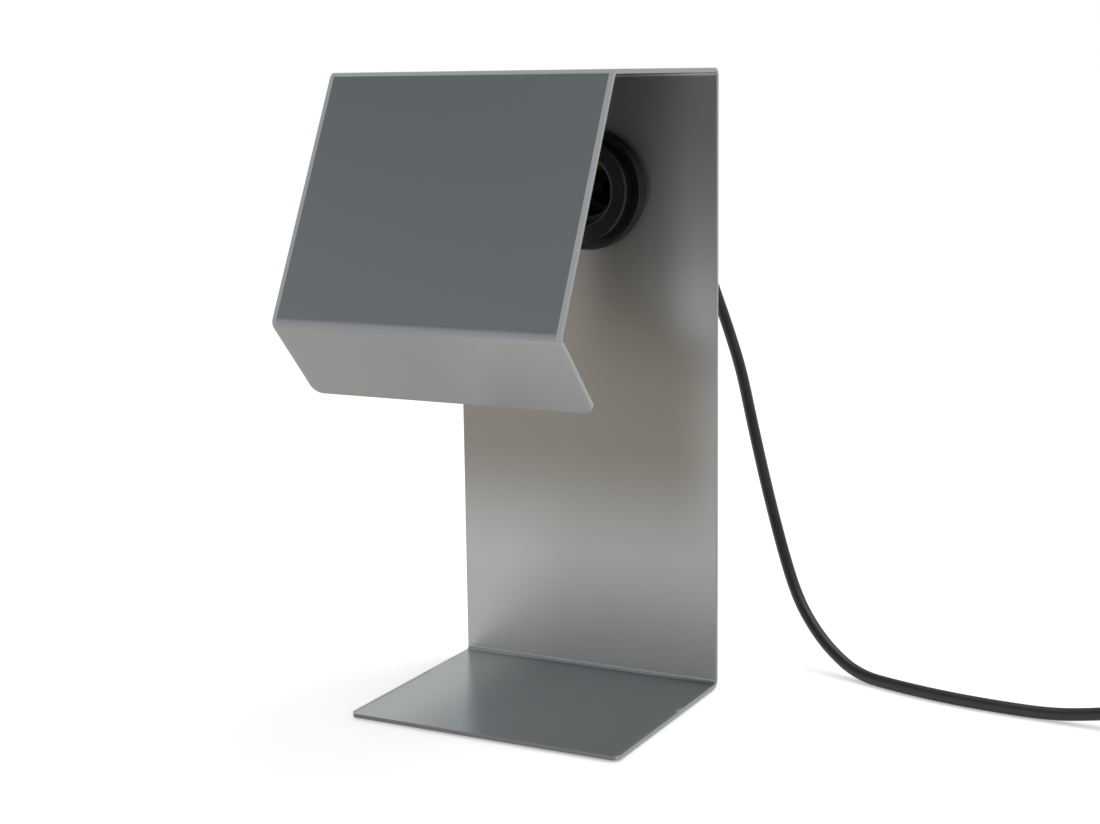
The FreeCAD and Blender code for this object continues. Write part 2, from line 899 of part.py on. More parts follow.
def plug_body():
    half = plug_width / 2
    tail = plug_tail / 2
    low = -plug_height / 2
    corners = [
        vector(0, -half, low),
        vector(plug_square, -half, low),
        vector(plug_length, -tail, low),
        vector(plug_length, tail, low),
        vector(plug_square, half, low),
        vector(0, half, low),
    ]
    radii = [plug_corner, 3 * plug_corner, plug_corner, plug_corner, 3 * plug_corner, plug_corner]
    body = rounded_face(corners, radii).extrude(up * plug_height)
    flat = [edge for edge in body.Edges if edge.BoundBox.ZLength < seat_gap]
    body = body.makeChamfer(plug_edge, flat)
    boot_start = vector(plug_length - plug_edge, 0, 0)
    boot = Part.makeCone(boot_root, boot_tip, boot_length + plug_edge, boot_start, along_x)
    body = body.fuse(boot).removeSplitter()
    for side in (-1, 1):
        start = vector(-1, side * pin_spacing / 2, 0)
        body = body.cut(rod(pin_core + cord_gap, pin_depth + 1, start, along_x))
    return body


def plug_pin(side):
    """A pin with a thick tip outside its sleeve and a thin shank inside it."""
    y = side * pin_spacing / 2
    tip_length = pin_length - sleeve_length
    tip = rod(pin_radius, tip_length, vector(-pin_length, y, 0), along_x)
    nose = [edge for edge in tip.Edges if edge.BoundBox.XMax < -pin_length + seat_gap]
    tip = tip.makeFillet(pin_nose, nose)
    shank = rod(pin_core, sleeve_length + pin_depth, vector(-sleeve_length, y, 0), along_x)
    return tip.fuse(shank).removeSplitter()


def pin_sleeve(side):
    start = vector(-sleeve_length, side * pin_spacing / 2, 0)
    sleeve = rod(sleeve_radius, sleeve_length, start, along_x)
    return sleeve.cut(rod(pin_core + cord_gap, sleeve_length, start, along_x))


add("plug_body", plug_body(), plug_place)
for number, side in enumerate((-1, 1), start=1):
    add(f"plug_pin_{number}", plug_pin(side), plug_place)
    add(f"plug_sleeve_{number}", pin_sleeve(side), plug_place)


# Export every piece
coil_length = 2 * math.pi * coil_middle * (coil_rows * coil_layers - 0.5)
print(f"coil {coil_length:.0f}, cord in all {sum(lengths) + coil_length:.0f}")
os.makedirs("parts", exist_ok=True)
for name, shape in nodes.items():
    if not shape.isValid():
        print("not valid:", name)
    shape.exportStep(f"parts/{name}.step")
print(len(nodes), "pieces, back plate at", round(plate_y, 2))
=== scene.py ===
from math import copysign, cos, pi, radians, sin, sqrt, tan

import bpy
from mathutils import Matrix, Vector


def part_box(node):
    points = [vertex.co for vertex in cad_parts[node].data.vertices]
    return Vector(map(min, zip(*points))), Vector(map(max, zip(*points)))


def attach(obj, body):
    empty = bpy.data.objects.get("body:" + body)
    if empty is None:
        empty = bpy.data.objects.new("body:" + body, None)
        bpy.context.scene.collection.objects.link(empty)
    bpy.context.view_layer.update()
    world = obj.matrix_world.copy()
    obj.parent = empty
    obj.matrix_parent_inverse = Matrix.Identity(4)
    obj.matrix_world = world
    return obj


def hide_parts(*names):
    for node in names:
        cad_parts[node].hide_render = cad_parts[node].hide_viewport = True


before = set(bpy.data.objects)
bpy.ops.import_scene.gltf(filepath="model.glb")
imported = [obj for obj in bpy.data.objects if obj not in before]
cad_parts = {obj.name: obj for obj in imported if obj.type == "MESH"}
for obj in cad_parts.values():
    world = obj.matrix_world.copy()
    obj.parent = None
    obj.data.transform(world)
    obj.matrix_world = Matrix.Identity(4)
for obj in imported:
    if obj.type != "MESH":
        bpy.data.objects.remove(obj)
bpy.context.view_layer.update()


# Camera, from the front and a little to the right, level with the lamp's top. It has a long lens on
# a 36 mm frame, and is tipped down by ten degrees.
film_width = 36.0
photo_width, focal_length = 1100, 1909
camera_place = Vector((0.4141, -0.7890, 0.3001))
camera_heading = radians(27.45)
camera_drop = radians(10.10)
camera_roll = radians(-0.80)
camera_data = bpy.data.cameras.new("camera")
camera_data.sensor_width = film_width
camera_data.lens = film_width * focal_length / photo_width
camera_data.clip_start = 0.01
camera = bpy.data.objects.new("camera", camera_data)
bpy.context.scene.collection.objects.link(camera)
turned_round = Matrix.Rotation(camera_heading, 4, "Z")
tipped_down = Matrix.Rotation(pi / 2 - camera_drop, 4, "X")
leaned = Matrix.Rotation(camera_roll, 4, "Z")
camera.matrix_world = Matrix.Translation(camera_place) @ turned_round @ tipped_down @ leaned
bpy.context.scene.camera = camera
bpy.context.scene.view_settings.view_transform = "Standard"


# Flat plug, moulded in soft black plastic on the cord's end, waisted for the fingers and ringed
# round its tail. Its two nickel-plated pins have black sleeves next to the plug. Sizes here are in
# millimetres behind the plug's face: half width, half height and squareness at each station.
plug_low, plug_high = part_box("plug_body")
plug_face = plug_low[0]
plug_middle_y = (plug_low[1] + plug_high[1]) / 2
plug_middle_z = (plug_low[2] + plug_high[2]) / 2
plug_stations = [(0.0, 16.8, 6.0, 5.0), (1.2, 17.6, 6.8, 5.0), (9.0, 17.6, 6.8, 5.0),
                 (31.0, 7.6, 6.4, 3.0), (36.0, 7.3, 6.4, 2.5), (38.0, 5.9, 5.9, 2.0),
                 (52.0, 4.0, 4.0, 2.0)]
tail_rings_start, tail_rings_end, tail_ring_pitch, tail_groove = 39.0, 51.0, 2.4, 0.6
plug_step, plug_sides = 0.4, 72


def plug_section(along):
    """Half width, half height and squareness at a distance behind the plug's face."""
    for before, after in zip(plug_stations, plug_stations[1:]):
        if along <= after[0]:
            share = (along - before[0]) / (after[0] - before[0])
            share = share ** 2 * (3 - 2 * share)
            return [low + (high - low) * share for low, high in zip(before[1:], after[1:])]
    return plug_stations[-1][1:]


def moulded_plug(finish):
    """The plug's body as one closed skin, drawn through its sections from face to tail."""
    rings = round(plug_stations[-1][0] / plug_step) + 1
    vertices = []
    for ring in range(rings):
        along = ring * plug_step
        half_width, half_height, square = plug_section(along)
        if tail_rings_start < along < tail_rings_end:
            turn = 2 * pi * (along - tail_rings_start) / tail_ring_pitch
            groove = tail_groove * (0.5 - 0.5 * cos(turn))
            half_width, half_height = half_width - groove, half_height - groove
        for side in range(plug_sides):
            angle = 2 * pi * side / plug_sides
            across = half_width * copysign(abs(cos(angle)) ** (2 / square), cos(angle))
            upward = half_height * copysign(abs(sin(angle)) ** (2 / square), sin(angle))
            vertices.append((plug_face + along / 1000, plug_middle_y + across / 1000,
                             plug_middle_z + upward / 1000))
    faces = [tuple(reversed(range(plug_sides))),
             tuple(range((rings - 1) * plug_sides, rings * plug_sides))]
    for ring in range(rings - 1):
        for side in range(plug_sides):
            this = ring * plug_sides + side
            beside = ring * plug_sides + (side + 1) % plug_sides
            faces.append((this, beside, beside + plug_sides, this + plug_sides))
    mesh = bpy.data.meshes.new("moulded_plug")
    mesh.from_pydata(vertices, [], faces)
    mesh.polygons.foreach_set("use_smooth", [len(face) == 4 for face in faces])
    mesh.materials.append(finish)
    piece = bpy.data.objects.new("moulded_plug", mesh)
    bpy.context.scene.collection.objects.link(piece)
    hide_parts("plug_body")
    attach(piece, "lamp")
    return piece


def add_node(nodes, links, kind, **feeds):
    """A node with its inputs set, or fed from other nodes; _0 is its first input, and so on."""
    node = nodes.new(kind)
    for name, value in feeds.items():
        key = int(name[1:]) if name[1:].isdigit() else name.replace("_", " ")
        if isinstance(value, bpy.types.NodeSocket):
            links.new(value, node.inputs[key])
        else:
            node.inputs[key].default_value = value
    return node


def worked(nodes, links, operation, first, second=0.0):
    """One step of arithmetic."""
    step = add_node(nodes, links, "ShaderNodeMath", _0=first, _1=second)
    step.operation = operation
    return step.outputs[0]


def ranged(nodes, links, amount, start, end, low, high):
    """The amount between start and end, carried over smoothly to low and high."""
    step = add_node(nodes, links, "ShaderNodeMapRange", Value=amount, From_Min=start, From_Max=end,
                    To_Min=low, To_Max=high)
    step.interpolation_type = "SMOOTHSTEP"
    return step.outputs["Result"]


def blended(nodes, links, amount, colour, other):
    """The colour, moved towards the other one by the amount."""
    mix = nodes.new("ShaderNodeMix")
    mix.data_type = "RGBA"
    for socket, value in ((0, amount), (6, colour), (7, other)):
        if isinstance(value, bpy.types.NodeSocket):
            links.new(value, mix.inputs[socket])
        else:
            mix.inputs[socket].default_value = value
    return mix.outputs[2]


mottle_colour_span, mottle_gloss_span = (0.3, 0.7), (0.2, 0.8)
gloss_spread = 0.05
pit_depth = 0.0003


def mottled_finish(name, dark, light, grain, roughness, metallic=0.0, shine=0.5, edge=0.0, pits=0.0):
    """A finish with a fine mottle in colour and gloss, and, where asked for, eased edges and pits."""
    material = bpy.data.materials.new(name)
    material.use_nodes = True
    nodes, links = material.node_tree.nodes, material.node_tree.links
    shader = nodes["Principled BSDF"]
    shader.inputs["Metallic"].default_value = metallic
    shader.inputs["Specular IOR Level"].default_value = shine
    place = nodes.new("ShaderNodeTexCoord").outputs["Object"]
    noise = add_node(nodes, links, "ShaderNodeTexNoise", Vector=place, Scale=grain, Detail=4.0)
    mottle = noise.outputs["Fac"]
    amount = ranged(nodes, links, mottle, *mottle_colour_span, 0.0, 1.0)
    links.new(blended(nodes, links, amount, dark + (1,), light + (1,)), shader.inputs["Base Color"])
    gloss = ranged(nodes, links, mottle, *mottle_gloss_span, roughness - gloss_spread,
                   roughness + gloss_spread)
    links.new(gloss, shader.inputs["Roughness"])
    bump = add_node(nodes, links, "ShaderNodeBump", Height=mottle, Strength=pits, Distance=pit_depth)
    if edge:
        eased = add_node(nodes, links, "ShaderNodeBevel", Radius=edge)
        links.new(eased.outputs["Normal"], bump.inputs["Normal"])
    links.new(bump.outputs["Normal"], shader.inputs["Normal"])
    return material


def dress(finish, *names):
    """Give carried-over pieces their finish."""
    for name in names:
        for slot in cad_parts[name].material_slots:
            slot.material = finish


black_plastic = mottled_finish("black_plastic", (0.010, 0.010, 0.011), (0.015, 0.015, 0.016), 90.0,
                               0.42, edge=0.0003, pits=0.08)
nickel = mottled_finish("nickel_plate", (0.62, 0.61, 0.58), (0.75, 0.74, 0.70), 150.0, 0.18,
                        metallic=1.0)
plug = moulded_plug(black_plastic)
dress(black_plastic, "plug_sleeve_1", "plug_sleeve_2")
dress(nickel, "plug_pin_1", "plug_pin_2")


# Supply cord, round, black, six millimetres thick and 1.82 m long. It hangs from the lamp holder,
# runs through the switch and ends in the plug; the rest of it is wound in a flat coil. Its route
# is given in millimetres.
cord_thickness = 0.006
coil_centre = Vector((0.408, 0.030, 0.0))
coil_outside, coil_inside, coil_step, coil_rest = 40.0, 28.0, 6.0, 3.0
coil_ease = 1.012
cord_to_switch = [
    (4, 89.5, 244), (4, 126, 244), (5, 140, 238.8), (7.2, 151.3, 229), (10.4, 158.4, 216),
    (15, 161, 201), (21.8, 161, 183.5), (30.4, 158, 164.5), (41, 151, 143), (50.5, 142.5, 117.5),
    (58.2, 136.5, 96.5), (66, 131, 75.5), (76.5, 122.5, 52), (86.5, 113.5, 34.5), (97, 105, 23),
    (111, 97, 11.5), (129, 88.5, 3), (152, 80, 3), (178, 73.5, 3), (204, 70.5, 3), (228, 69.5, 3.2),
    (246, 70.2, 5.5), (262, 70, 9), (285, 70, 9),
]
cord_in_switch = [(297, 70, 5), (307, 70, 4.6), (317, 70, 5)]
cord_to_coil = [(329, 70, 9), (354, 70, 9), (371, 70.3, 3.3), (390, 70, 3)]
cord_to_plug = [(390, -10, 9), (380, -10, 8.95), (366, -10, 6.85), (356, -10, 6.85)]


def coil_point(turn):
    """A point on the wound cord: in along the table, up one layer, and out again on top."""
    if turn < 2:
        radius, height = coil_outside - coil_step * turn, coil_rest
    elif turn < 3:
        radius, height = coil_inside, coil_rest + coil_step * (turn - 2)
    elif turn < 5:
        radius, height = coil_inside + coil_step * (turn - 3), coil_rest + coil_step
    else:
        radius, height = coil_outside, coil_rest + coil_step
    angle = pi / 2 - 2 * pi * turn
    across = radius * coil_ease / 1000
    return coil_centre + Vector((across * cos(angle), across * sin(angle), height / 1000))


points_per_turn = 16
coil_turns = 5.5
wound = [coil_point(step / points_per_turn) for step in range(int(coil_turns * points_per_turn) + 1)]
route = [Vector(point) / 1000 for point in cord_to_switch + cord_in_switch + cord_to_coil]
route += wound
route += [Vector(point) / 1000 for point in cord_to_plug]

cord_curve = bpy.data.curves.new("cord", "CURVE")
cord_curve.dimensions = "3D"
cord_curve.bevel_depth = cord_thickness / 2
cord_curve.bevel_resolution = 6
cord_curve.resolution_u = 8
cord_curve.use_fill_caps = True
cord_line = cord_curve.splines.new("NURBS")
cord_line.points.add(len(route) - 1)
for control, place in zip(cord_line.points, route):
    control.co = (place.x, place.y, place.z, 1.0)
cord_line.order_u = 3
cord_line.use_endpoint_u = True
cord = bpy.data.objects.new("cord", cord_curve)
bpy.context.scene.collection.objects.link(cord)


cord_sheath = mottled_finish("cord_sheath", (0.006, 0.006, 0.007), (0.011, 0.011, 0.012), 70.0, 0.42,
                             pits=0.15)
cord_curve.materials.append(cord_sheath)
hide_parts("cord_lamp_lead", "cord_plug_lead", "cord_plug_end", "cord_coil")
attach(cord, "lamp")


# Folded strip of brushed sheet steel, two millimetres thick, sheared at its sides and bent four
# times, with brush marks across it. Its lighter and darker areas are laid on by place, to match the
# photograph, as painted reflections, painted shade and painted highlights over the steel's own grey.
steel_dark = (0.411, 0.416, 0.415, 1)
steel_light = (0.424, 0.429, 0.428, 1)
# Pale colour of the sheared sides' bare metal, also painted as a highlight along them and over the
# top bend.
bare_edge_and_highlight = (0.415, 0.435, 0.440, 1)
# Painted highlight on the plate's right side, beside the head.
right_side_highlight = (0.600, 0.625, 0.632, 1)
# Painted warm reflection low on the plate, under the head.
warm_reflection = (0.236, 0.220, 0.192, 1)
# Painted shade on the panel's outer face.
head_outside_shade = (0.243, 0.253, 0.263, 1)
# Painted deep shade inside the head, also used on the base's front edge.
deep_shade = (0.162, 0.160, 0.157, 1)
# Painted shade on the lip's outer face; it lightens to the right as a painted highlight.
lip_outside_shade = (0.268, 0.267, 0.259, 1)
# Painted reflections on the base: dark over most of it, light at its left end.
base_dark_reflection = (0.299, 0.325, 0.337, 1)
base_light_reflection = (0.540, 0.550, 0.545, 1)
brush_direction = {"X": 1.0, "Y": 0.02, "Z": 0.03}
brush_scale = (4.0, 900.0, 900.0)
brush_strength, brush_turn = 0.92, 0.25
marks_dim, marks_bright = 0.2, 0.8
steel_gloss = (0.276, 0.282)
edge_dullness = 0.30
steel_metallic, edge_less_metallic = 0.85, 0.4

strip_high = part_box("folded_body")[1]
sheet = 0.002
plate_front = strip_high[1] - sheet
panel_top = Vector((0.0, -0.0645, strip_high[2]))
panel_inward = Vector((0.0, 0.896, -0.444))
lip_top = Vector((0.0, -0.1173, 0.1945))
lip_inward = Vector((0.0, 0.745, 0.667))
lip_bottom = 0.157
lip_brightens, lip_brighter = (-0.01, 0.07), 0.55
base_top_fades = (0.002, 0.006)
base_darkens = (-0.055, -0.015)
# Where the painted warm reflection and the painted shade above it lie.
brown_x, brown_fades, brown_rises = -0.03, (0.045, 0.095), (0.05, 0.12)
brown_widens, brown_wider = (0.155, 0.205), 0.030
grey_rises = (0.17, 0.26)
bright_starts, bright_rises = (0.040, 0.065), (0.165, 0.205)
bright_fades, bright_at_top = (0.215, 0.285), 0.4
# Where the painted highlights lie: beside the sheared sides and over the top bend, less on the lip.
edge_on, top_bend_facing, top_bend_above = 0.8, (0.55, 0.999), 0.29
head_highlight_width, plate_highlight_width = 0.0020, 0.0004
lip_highlight_cut = 0.75


def product(nodes, links, first, *others):
    """All the amounts multiplied together."""
    for other in others:
        first = worked(nodes, links, "MULTIPLY", first, other)
    return first


def inside_head(nodes, links, place, normal):
    """1 on the faces that look into the space between plate, top, panel and lip, otherwise 0."""
    step = (2 * sheet, 2 * sheet, 2 * sheet)
    ahead = add_node(nodes, links, "ShaderNodeVectorMath", _0=normal, _1=step, _2=place)
    ahead.operation = "MULTIPLY_ADD"
    inside = 1.0
    limits = [(Vector((0, -1, 0)), Vector((0, plate_front, 0))),
              (Vector((0, 0, -1)), Vector((0, 0, strip_high[2] - sheet))),
              (panel_inward, panel_top + panel_inward * sheet),
              (lip_inward, lip_top + lip_inward * sheet)]
    for inward, point in limits:
        depth = add_node(nodes, links, "ShaderNodeVectorMath", _0=ahead.outputs[0], _1=inward)
        depth.operation = "DOT_PRODUCT"
        past = worked(nodes, links, "GREATER_THAN", depth.outputs["Value"], inward.dot(point))
        inside = product(nodes, links, past, inside)
    return inside


def painted_shade_outside(nodes, links, colour, at, inside):
    """Painted shade outside the panel and the lip, with a painted highlight on the lip's right."""
    outside = worked(nodes, links, "SUBTRACT", 1.0, inside)
    above_lip = worked(nodes, links, "GREATER_THAN", at["Z"], lip_bottom)
    forward = ranged(nodes, links, at["Y"], 0.0, plate_front - sheet, 1.0, 0.0)
    outside = product(nodes, links, outside, above_lip, forward)
    bent_under = ranged(nodes, links, at["Z"], lip_top.z - sheet, lip_top.z, 1.0, 0.0)
    brighter = ranged(nodes, links, at["X"], *lip_brightens, 0.0, lip_brighter)
    lip_colour = blended(nodes, links, brighter, lip_outside_shade, steel_light)
    return blended(nodes, links, outside, colour,
                   blended(nodes, links, bent_under, head_outside_shade, lip_colour))


def painted_base_reflections(nodes, links, colour, at, facing):
    """Painted reflections, light at the base's left end and dark on the rest; painted shade on its
    front edge.
    """
    low_down = ranged(nodes, links, at["Z"], *base_top_fades, 1.0, 0.0)
    past_left_end = ranged(nodes, links, at["X"], *base_darkens, 0.0, 1.0)
    base_colour = blended(nodes, links, past_left_end, base_light_reflection, base_dark_reflection)
    front_edge = worked(nodes, links, "LESS_THAN", facing["Y"], -edge_on)
    base_colour = blended(nodes, links, front_edge, base_colour, deep_shade)
    return blended(nodes, links, low_down, colour, base_colour)


def painted_reflection_and_shade_inside(nodes, links, colour, at, inside):
    """Painted warm reflection low down and painted shade higher up, on the inner faces of plate and
    head.
    """
    aside = worked(nodes, links, "ABSOLUTE", worked(nodes, links, "SUBTRACT", at["X"], brown_x))
    wider = ranged(nodes, links, at["Z"], *brown_widens, brown_wider, 0.0)
    aside = worked(nodes, links, "SUBTRACT", aside, wider)
    near = ranged(nodes, links, aside, *brown_fades, 1.0, 0.0)
    rising = ranged(nodes, links, at["Z"], *brown_rises, 0.0, 1.0)
    shaded_higher = ranged(nodes, links, at["Z"], *grey_rises, 0.0, 1.0)
    inner_colour = blended(nodes, links, shaded_higher, warm_reflection, deep_shade)
    return blended(nodes, links, product(nodes, links, near, inside, rising), colour, inner_colour)


def painted_right_side_highlight(nodes, links, colour, at, inside):
    """The colour, with a painted highlight along the right side of the inner faces, at the head's
    height.
    """
    right_side = ranged(nodes, links, at["X"], *bright_starts, 0.0, 1.0)
    rising = ranged(nodes, links, at["Z"], *bright_rises, 0.0, 1.0)
    fading = ranged(nodes, links, at["Z"], *bright_fades, 1.0, bright_at_top)
    return blended(nodes, links, product(nodes, links, right_side, inside, rising, fading), colour,
                   right_side_highlight)


def bare_sides_and_edge_highlights(nodes, links, at, facing):
    """1 on the sheared sides, on a painted highlight along them and on the bend over the panel, less
    on the lip.
    """
    sideways = worked(nodes, links, "ABSOLUTE", facing["X"])
    sheared = worked(nodes, links, "GREATER_THAN", sideways, edge_on)
    off_middle = worked(nodes, links, "ABSOLUTE", at["X"])
    off_side = worked(nodes, links, "SUBTRACT", strip_high[0], off_middle)
    highlight_width = ranged(nodes, links, at["Y"], 0.0, 0.01, head_highlight_width, plate_highlight_width)
    edge_highlight = worked(nodes, links, "LESS_THAN", off_side, highlight_width)
    bend_start = worked(nodes, links, "GREATER_THAN", facing["Z"], top_bend_facing[0])
    bend_end = worked(nodes, links, "LESS_THAN", facing["Z"], top_bend_facing[1])
    at_top = worked(nodes, links, "GREATER_THAN", at["Z"], top_bend_above)
    top_bend = product(nodes, links, bend_start, bend_end, at_top)
    pale = worked(nodes, links, "MAXIMUM", edge_highlight, top_bend)
    pale = worked(nodes, links, "MAXIMUM", sheared, pale)
    below_head = worked(nodes, links, "LESS_THAN", at["Z"], lip_top.z)
    at_front = worked(nodes, links, "LESS_THAN", at["Y"], 0.0)
    on_lip = product(nodes, links, below_head, at_front, lip_highlight_cut)
    return product(nodes, links, pale, worked(nodes, links, "SUBTRACT", 1.0, on_lip))


def brushed_steel():
    """The strip's finish: fine brush marks, with painted light and shade laid on by place.
    The strip's finish: fine brush marks, and the tones matched to the photograph.
    """
    material = bpy.data.materials.new("brushed_steel")
    material.use_nodes = True
    nodes, links = material.node_tree.nodes, material.node_tree.links
    shader = nodes["Principled BSDF"]
    shader.inputs["Anisotropic"].default_value = brush_strength
    shader.inputs["Anisotropic Rotation"].default_value = brush_turn
    across = add_node(nodes, links, "ShaderNodeCombineXYZ", **brush_direction)
    links.new(across.outputs["Vector"], shader.inputs["Tangent"])

    place = nodes.new("ShaderNodeTexCoord").outputs["Object"]
    at = add_node(nodes, links, "ShaderNodeSeparateXYZ", Vector=place).outputs
    normal = nodes.new("ShaderNodeNewGeometry").outputs["True Normal"]
    facing = add_node(nodes, links, "ShaderNodeSeparateXYZ", Vector=normal).outputs
    drawn_out = add_node(nodes, links, "ShaderNodeMapping", Vector=place, Scale=brush_scale)
    marks = add_node(nodes, links, "ShaderNodeTexNoise", Vector=drawn_out.outputs[0], Scale=1.0,
                     Detail=3.0).outputs["Fac"]

    inside = inside_head(nodes, links, place, normal)
    # Painted reflections, shade and highlights are laid by place over the brush marks' own colour.
    colour = blended(nodes, links, marks, steel_dark, steel_light)
    colour = painted_shade_outside(nodes, links, colour, at, inside)
    colour = painted_base_reflections(nodes, links, colour, at, facing)
    colour = painted_reflection_and_shade_inside(nodes, links, colour, at, inside)
    colour = painted_right_side_highlight(nodes, links, colour, at, inside)
    pale = bare_sides_and_edge_highlights(nodes, links, at, facing)
    colour = blended(nodes, links, pale, colour, bare_edge_and_highlight)
    links.new(colour, shader.inputs["Base Color"])

    less_metallic = product(nodes, links, pale, edge_less_metallic)
    metallic = worked(nodes, links, "SUBTRACT", steel_metallic, less_metallic)
    links.new(metallic, shader.inputs["Metallic"])
    gloss = ranged(nodes, links, marks, marks_dim, marks_bright, *steel_gloss)
    duller = product(nodes, links, pale, edge_dullness)
    links.new(worked(nodes, links, "ADD", gloss, duller), shader.inputs["Roughness"])
    return material


dress(brushed_steel(), "folded_body")


# Four round pads of grey felt, glued under the base near its corners. They keep the steel off the
# table top.
felt = mottled_finish("felt", (0.05, 0.05, 0.05), (0.13, 0.13, 0.125), 900.0, 0.92, pits=0.9)
dress(felt, "foot_pad_1", "foot_pad_2", "foot_pad_3", "foot_pad_4")


# Lamp holder's front shell, moulded in black phenolic: a rim round a wide mouth, and behind it a
# threaded skirt that goes through the back plate. The holder's sizes are in millimetres, behind the
# plate's front face and out from the holder's axis.
holder_x, holder_z = 0.004, 0.244
rim_front, rim_back, skirt_end = -13.0, -6.0, 24.0
rim_radius, skirt_radius, skirt_bore = 25.0, 20.0, 17.65
mouth_radius, mouth_flare = 16.2, 1.8
pocket_start, pocket_end, pocket_radius = -3.0, 16.0, 13.8
skirt_thread_start, skirt_pitch, skirt_thread = 2.0, 2.5, 0.45
arc_step = radians(15)
arc_margin = 0.05
surface_depth = 0.3
phenolic = mottled_finish("phenolic", (0.0022, 0.0020, 0.0028), (0.0045, 0.0042, 0.0055), 90.0, 0.30,
                          shine=0.27, pits=0.04)


def profile_points(corners, longest):
    """A closed outline from (along, radius, rounding) corners, with arcs at the corners."""
    points = []
    for before, corner, after in zip(corners[-1:] + corners[:-1], corners, corners[1:] + corners[:1]):
        here = Vector(corner[:2])
        into = (here - Vector(before[:2])).normalized()
        out = (Vector(after[:2]) - here).normalized()
        turn = into.angle_signed(out)
        rounding = corner[2]
        trim = rounding * tan(abs(turn) / 2)
        start = here - into * trim
        centre = here + (out - into).normalized() * (rounding / cos(turn / 2))
        steps = max(2, round(abs(turn) / arc_step))
        arc = []
        for step in range(steps + 1):
            swing = Matrix.Rotation(-turn * step / steps, 2)
            arc.append(centre + swing @ (start - centre))
        points += [start - into * arc_margin] + arc + [here + out * (trim + arc_margin)]
    fine = []
    for start, end in zip(points, points[1:] + points[:1]):
        pieces = max(1, round((end - start).length / longest))
        fine += [start.lerp(end, piece / pieces) for piece in range(pieces)]
    return fine


def turned_piece(node, corners, finish, sides=192, longest=50.0, relief=None):
    """A node's piece as turned on a lathe about the holder's axis; relief cuts into its surface."""
    ring = profile_points(corners, longest)
    vertices = []
    for side in range(sides):
        angle = 2 * pi * side / sides
        for point in ring:
            along, radius = point
            if relief:
                radius = relief(along, radius, angle)
            vertices.append((holder_x + radius * cos(angle) / 1000, plate_front + along / 1000,
                             holder_z + radius * sin(angle) / 1000))
    faces = []
    count = len(ring)
    for side in range(sides):
        this = side * count
        following = (side + 1) % sides * count
        for index in range(count):
            ahead = (index + 1) % count
            faces.append((this + index, this + ahead, following + ahead, following + index))
    mesh = bpy.data.meshes.new(node)
    mesh.from_pydata(vertices, [], faces)
    mesh.polygons.foreach_set("use_smooth", [True] * len(mesh.polygons))
    mesh.materials.append(finish)
    piece = bpy.data.objects.new(node + "_turned", mesh)
    bpy.context.scene.collection.objects.link(piece)
    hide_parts(node)
    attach(piece, "lamp")


def cut_thread(along, radius, angle, start, end, pitch, depth):
    """The radius inside a round thread, which runs out at both ends."""
    fade = max(0.0, min(1.0, (along - start) / pitch, (end - along) / pitch))
    wave = 0.5 - 0.5 * cos(2 * pi * along / pitch - angle)
    return radius - depth * wave * fade


def skirt_relief(along, radius, angle):
    """The thread on the skirt's outside, behind the plate."""
    if radius < skirt_radius - surface_depth or along < 0:
        return radius
    return cut_thread(along, radius, angle, skirt_thread_start, skirt_end, skirt_pitch, skirt_thread)


turned_piece("holder_shell", [
    (rim_front, mouth_radius, mouth_flare),
    (rim_front, rim_radius - 0.8, 0.5),
    (rim_front + 0.8, rim_radius, 0.5),
    (rim_back, rim_radius, 0.3),
    (rim_back, skirt_radius, 0.2),
    (skirt_end, skirt_radius, 0.3),
    (skirt_end, skirt_bore, 0.2),
    (pocket_end, skirt_bore, 0.2),
    (pocket_end, pocket_radius, 0.2),
    (pocket_start, pocket_radius, 0.2),
    (pocket_start, mouth_radius, 0.3),
], phenolic, longest=0.3, relief=skirt_relief)


# Two rings screwed on the skirt, one on each side of the plate, which clamp the holder in its
# hole. The front one is plain. The back one has shallow grips for the fingers.
ring_radius, nut_radius = 29.2, 26.0
nut_start, nut_end = 2.0, 8.0
thread_bore = 20.15
grip_count, grip_radius, grip_depth, grip_reach = 16, 1.6, 0.7, 2.0


def gripped(radius, outside, angle):
    """The radius where round grooves are cut along the outside, evenly spaced, and fade inwards."""
    spacing = 2 * pi / grip_count
    off_middle = (angle + spacing / 2) % spacing - spacing / 2
    aside = outside * sin(off_middle)
    if abs(aside) >= grip_radius:
        return radius
    cut = max(0.0, grip_depth - grip_radius + sqrt(grip_radius ** 2 - aside ** 2))
    return radius - cut * max(0.0, 1 - (outside - radius) / grip_reach)


def nut_relief(along, radius, angle):
    """The back nut's grips, kept off its thread."""
    return gripped(radius, nut_radius, angle) if radius > thread_bore + 1 else radius


turned_piece("shade_ring", [
    (rim_back, thread_bore, 0.2),
    (rim_back, ring_radius, 1.0),
    (0.0, ring_radius, 0.6),
    (0.0, thread_bore, 0.2),
], phenolic, sides=256)
turned_piece("back_nut", [
    (nut_start, thread_bore, 0.2),
    (nut_start, nut_radius, 0.6),
    (nut_end, nut_radius, 1.0),
    (nut_end, thread_bore, 0.3),
], phenolic, sides=384, longest=1.5, relief=nut_relief)


# Holder's cap, moulded in the same phenolic. It screws into the skirt, its crown is rounded, and
# its short neck takes the strain relief.
cap_start, cap_end, neck_end = 19.0, 40.0, 46.0
spigot_radius, cap_inside, neck_radius, neck_bore = 17.5, 15.0, 7.5, 5.0
cap_wall, cap_crown = 2.5, 9.0


def cap_relief(along, radius, angle):
    """The cap's grips, between the skirt's end and the crown."""
    if skirt_end - 0.5 < along < cap_end - 1 and radius > spigot_radius + 0.5:
        return gripped(radius, skirt_radius, angle)
    return radius


